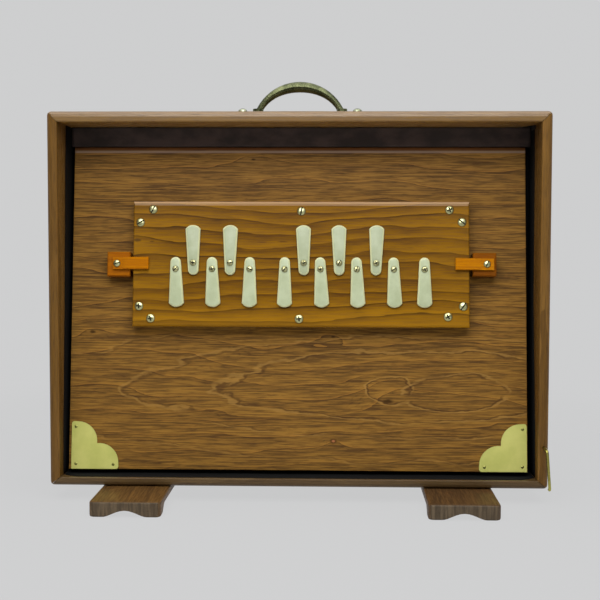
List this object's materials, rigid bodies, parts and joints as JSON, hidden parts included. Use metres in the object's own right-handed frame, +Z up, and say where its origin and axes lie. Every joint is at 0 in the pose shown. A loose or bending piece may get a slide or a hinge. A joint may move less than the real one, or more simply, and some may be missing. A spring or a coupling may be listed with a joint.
{
  "type": "shruti box",
  "caption": "Hand-pumped drone instrument: wooden case on arched feet, leaning spring-opened panel with turning keys, rear pump board and brass carrying handle.",
  "frame": {"origin": "on the floor under the middle of the case, between the two feet", "axes": "+X to the right seen from the front, +Y to the back, +Z up"},
  "size_m": [0.4, 0.206, 0.3407],
  "materials": {
    "case_wood": "satin varnish",
    "panel_wood": "matt varnish",
    "key_board_wood": "satin varnish",
    "latch_wood": "glossy varnish",
    "plain_wood": "bare",
    "ivory_plastic": "satin",
    "brass": "satin",
    "spring_steel": "oiled",
    "leather": "soft",
    "black_cloth": "coated cloth"
  },
  "bodies": {
    "case": {"case_top_board": "case_wood", "case_bottom_board": "case_wood", "case_left_board": "case_wood", "case_right_board": "case_wood", "partition_board": "plain_wood", "partition_valve_flap": "leather", "hinge_rail": "plain_wood", "foot_left": "case_wood", "foot_right": "case_wood", "handle": "brass", "handle_screw_left": "brass", "handle_screw_right": "brass"},
    "panel": {"front_panel": "panel_wood", "reed_board": "plain_wood", "key_board": "key_board_wood", "latch_block_left": "latch_wood", "latch_block_right": "latch_wood", "latch_screw_left": "brass", "latch_screw_right": "brass", "corner_guard_left": "brass", "corner_guard_right": "brass", "lower_key_screw_1": "brass", "lower_key_screw_2": "brass", "lower_key_screw_3": "brass", "lower_key_screw_4": "brass", "lower_key_screw_5": "brass", "lower_key_screw_6": "brass", "lower_key_screw_7": "brass", "lower_key_screw_8": "brass", "upper_key_screw_1": "brass", "upper_key_screw_2": "brass", "upper_key_screw_3": "brass", "upper_key_screw_4": "brass", "upper_key_screw_5": "brass", "reservoir_bellows": "black_cloth", "reservoir_hinge_strip": "black_cloth", "reservoir_spring": "spring_steel"},
    "pump": {"pump_board": "panel_wood", "pump_exhaust_flap": "leather", "pump_bellows": "black_cloth", "pump_hinge_strip": "black_cloth"},
    "hook": {"lock_hook": "brass"},
    "left_arm": {"latch_arm_left": "latch_wood"},
    "right_arm": {"latch_arm_right": "latch_wood"},
    "lower_key_1_turner": {"lower_key_1": "ivory_plastic"},
    "lower_key_2_turner": {"lower_key_2": "ivory_plastic"},
    "lower_key_3_turner": {"lower_key_3": "ivory_plastic"},
    "lower_key_4_turner": {"lower_key_4": "ivory_plastic"},
    "lower_key_5_turner": {"lower_key_5": "ivory_plastic"},
    "lower_key_6_turner": {"lower_key_6": "ivory_plastic"},
    "lower_key_7_turner": {"lower_key_7": "ivory_plastic"},
    "lower_key_8_turner": {"lower_key_8": "ivory_plastic"},
    "upper_key_1_turner": {"upper_key_1": "ivory_plastic"},
    "upper_key_2_turner": {"upper_key_2": "ivory_plastic"},
    "upper_key_3_turner": {"upper_key_3": "ivory_plastic"},
    "upper_key_4_turner": {"upper_key_4": "ivory_plastic"},
    "upper_key_5_turner": {"upper_key_5": "ivory_plastic"}
  },
  "joints": [
    {"name": "panel_swing", "type": "hinge", "parent": "case", "child": "panel", "pos_m": [0, 0.00353, 0.28728], "axis": [1, 0, 0], "range_deg": [0, 6.4], "stiffness_Nm_per_rad": 1.2, "springref_deg": -20.05, "deforming": ["reservoir_bellows", "reservoir_hinge_strip", "reservoir_spring"]},
    {"name": "pump_swing", "type": "hinge", "parent": "case", "child": "pump", "pos_m": [0, 0.047, 0.0197], "axis": [-1, 0, 0], "range_deg": [0, 12], "deforming": ["pump_bellows", "pump_hinge_strip"]},
    {"name": "hook_turn", "type": "hinge", "parent": "case", "child": "hook", "pos_m": [0.1963, -0.055, 0.0459], "axis": [0, 1, 0], "range_deg": [0, 100]},
    {"name": "left_arm_turn", "type": "hinge", "parent": "panel", "child": "left_arm", "pos_m": [-0.1486, -0.02418, 0.19099], "axis": [0, -0.9913, 0.1316], "range_deg": [-90, 90]},
    {"name": "right_arm_turn", "type": "hinge", "parent": "panel", "child": "right_arm", "pos_m": [0.1525, -0.02415, 0.19119], "axis": [0, -0.9913, 0.1316], "range_deg": [-90, 90]},
    {"name": "lower_key_1_turn", "type": "hinge", "parent": "panel", "child": "lower_key_1_turner", "pos_m": [-0.1004, -0.02476, 0.18663], "axis": [0, -0.9913, 0.1316], "range_deg": [-33, 0]},
    {"name": "lower_key_2_turn", "type": "hinge", "parent": "panel", "child": "lower_key_2_turner", "pos_m": [-0.0707, -0.02476, 0.18663], "axis": [0, -0.9913, 0.1316], "range_deg": [-33, 0]},
    {"name": "lower_key_3_turn", "type": "hinge", "parent": "panel", "child": "lower_key_3_turner", "pos_m": [-0.04, -0.02476, 0.18663], "axis": [0, -0.9913, 0.1316], "range_deg": [-33, 0]},
    {"name": "lower_key_4_turn", "type": "hinge", "parent": "panel", "child": "lower_key_4_turner", "pos_m": [-0.0115, -0.02476, 0.18663], "axis": [0, -0.9913, 0.1316], "range_deg": [-33, 0]},
    {"name": "lower_key_5_turn", "type": "hinge", "parent": "panel", "child": "lower_key_5_turner", "pos_m": [0.0176, -0.02476, 0.18663], "axis": [0, -0.9913, 0.1316], "range_deg": [-33, 0]},
    {"name": "lower_key_6_turn", "type": "hinge", "parent": "panel", "child": "lower_key_6_turner", "pos_m": [0.0471, -0.02476, 0.18663], "axis": [0, -0.9913, 0.1316], "range_deg": [-33, 0]},
    {"name": "lower_key_7_turn", "type": "hinge", "parent": "panel", "child": "lower_key_7_turner", "pos_m": [0.0771, -0.02476, 0.18663], "axis": [0, -0.9913, 0.1316], "range_deg": [-33, 0]},
    {"name": "lower_key_8_turn", "type": "hinge", "parent": "panel", "child": "lower_key_8_turner", "pos_m": [0.102, -0.02476, 0.18663], "axis": [0, -0.9913, 0.1316], "range_deg": [0, 33]},
    {"name": "upper_key_1_turn", "type": "hinge", "parent": "panel", "child": "upper_key_1_turner", "pos_m": [-0.0862, -0.02409, 0.19168], "axis": [0, -0.9913, 0.1316], "range_deg": [-33, 0]},
    {"name": "upper_key_2_turn", "type": "hinge", "parent": "panel", "child": "upper_key_2_turner", "pos_m": [-0.0561, -0.02409, 0.19168], "axis": [0, -0.9913, 0.1316], "range_deg": [-33, 0]},
    {"name": "upper_key_3_turn", "type": "hinge", "parent": "panel", "child": "upper_key_3_turner", "pos_m": [0.004, -0.02409, 0.19168], "axis": [0, -0.9913, 0.1316], "range_deg": [-33, 0]},
    {"name": "upper_key_4_turn", "type": "hinge", "parent": "panel", "child": "upper_key_4_turner", "pos_m": [0.0328, -0.02409, 0.19168], "axis": [0, -0.9913, 0.1316], "range_deg": [-33, 0]},
    {"name": "upper_key_5_turn", "type": "hinge", "parent": "panel", "child": "upper_key_5_turner", "pos_m": [0.0628, -0.02409, 0.19168], "axis": [0, -0.9913, 0.1316], "range_deg": [-33, 0]}
  ]
}
